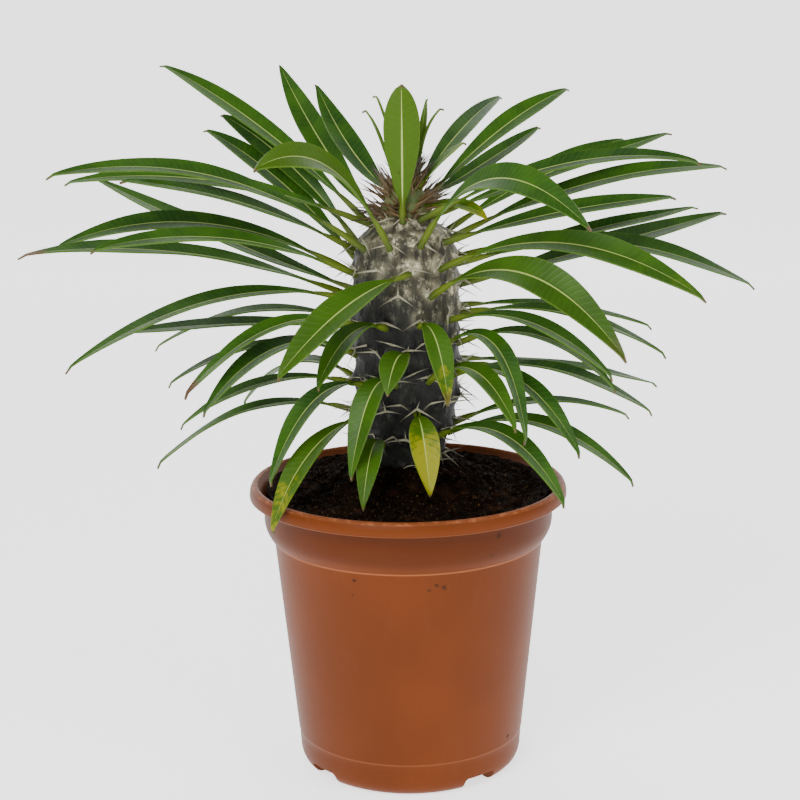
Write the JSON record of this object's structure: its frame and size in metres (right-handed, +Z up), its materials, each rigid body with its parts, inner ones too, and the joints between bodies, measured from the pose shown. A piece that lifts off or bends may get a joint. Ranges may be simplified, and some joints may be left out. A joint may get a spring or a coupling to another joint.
{
  "type": "potted madagascar palm",
  "caption": "Young madagascar palm with a thorny grey stem and long arching green leaves, in a round terracotta-coloured plastic nursery pot filled with soil.",
  "frame": {"origin": "centre of the pot's foot, on the ground", "axes": "+Z up along the pot's and the stem's axis, -Y towards the side shown in the picture, +X to the picture's right"},
  "size_m": [0.3856, 0.2221, 0.3767],
  "materials": {
    "pot_plastic": "satin",
    "potting_soil": "rough",
    "bark": "rough",
    "leaf_green": "satin"
  },
  "bodies": {
    "root": {"crown": "leaf_green", "leaf_01": "leaf_green", "leaf_02": "leaf_green", "leaf_03": "leaf_green", "leaf_04": "leaf_green", "leaf_05": "leaf_green", "leaf_06": "leaf_green", "leaf_07": "leaf_green", "leaf_08": "leaf_green", "leaf_09": "leaf_green", "leaf_10": "leaf_green", "leaf_11": "leaf_green", "leaf_12": "leaf_green", "leaf_13": "leaf_green", "leaf_14": "leaf_green", "leaf_15": "leaf_green", "leaf_16": "leaf_green", "leaf_17": "leaf_green", "leaf_18": "leaf_green", "leaf_19": "leaf_green", "leaf_20": "leaf_green", "leaf_21": "leaf_green", "leaf_22": "leaf_green", "leaf_23": "leaf_green", "leaf_24": "leaf_green", "leaf_25": "leaf_green", "leaf_26": "leaf_green", "leaf_27": "leaf_green", "leaf_28": "leaf_green", "leaf_29": "leaf_green", "leaf_30": "leaf_green", "leaf_31": "leaf_green", "leaf_32": "leaf_green", "leaf_33": "leaf_green", "leaf_34": "leaf_green", "leaf_35": "leaf_green", "leaf_36": "leaf_green", "leaf_37": "leaf_green", "leaf_38": "leaf_green", "leaf_39": "leaf_green", "leaf_40": "leaf_green", "leaf_41": "leaf_green", "leaf_42": "leaf_green", "leaf_43": "leaf_green", "leaf_44": "leaf_green", "leaf_45": "leaf_green", "leaf_46": "leaf_green", "leaf_47": "leaf_green", "leaf_48": "leaf_green", "leaf_49": "leaf_green", "leaf_50": "leaf_green", "leaf_51": "leaf_green", "leaf_52": "leaf_green", "leaf_53": "leaf_green", "leaf_54": "leaf_green", "leaf_55": "leaf_green", "leaf_56": "leaf_green", "pot": "pot_plastic", "soil": "potting_soil", "trunk": "bark"}
  },
  "joints": []
}
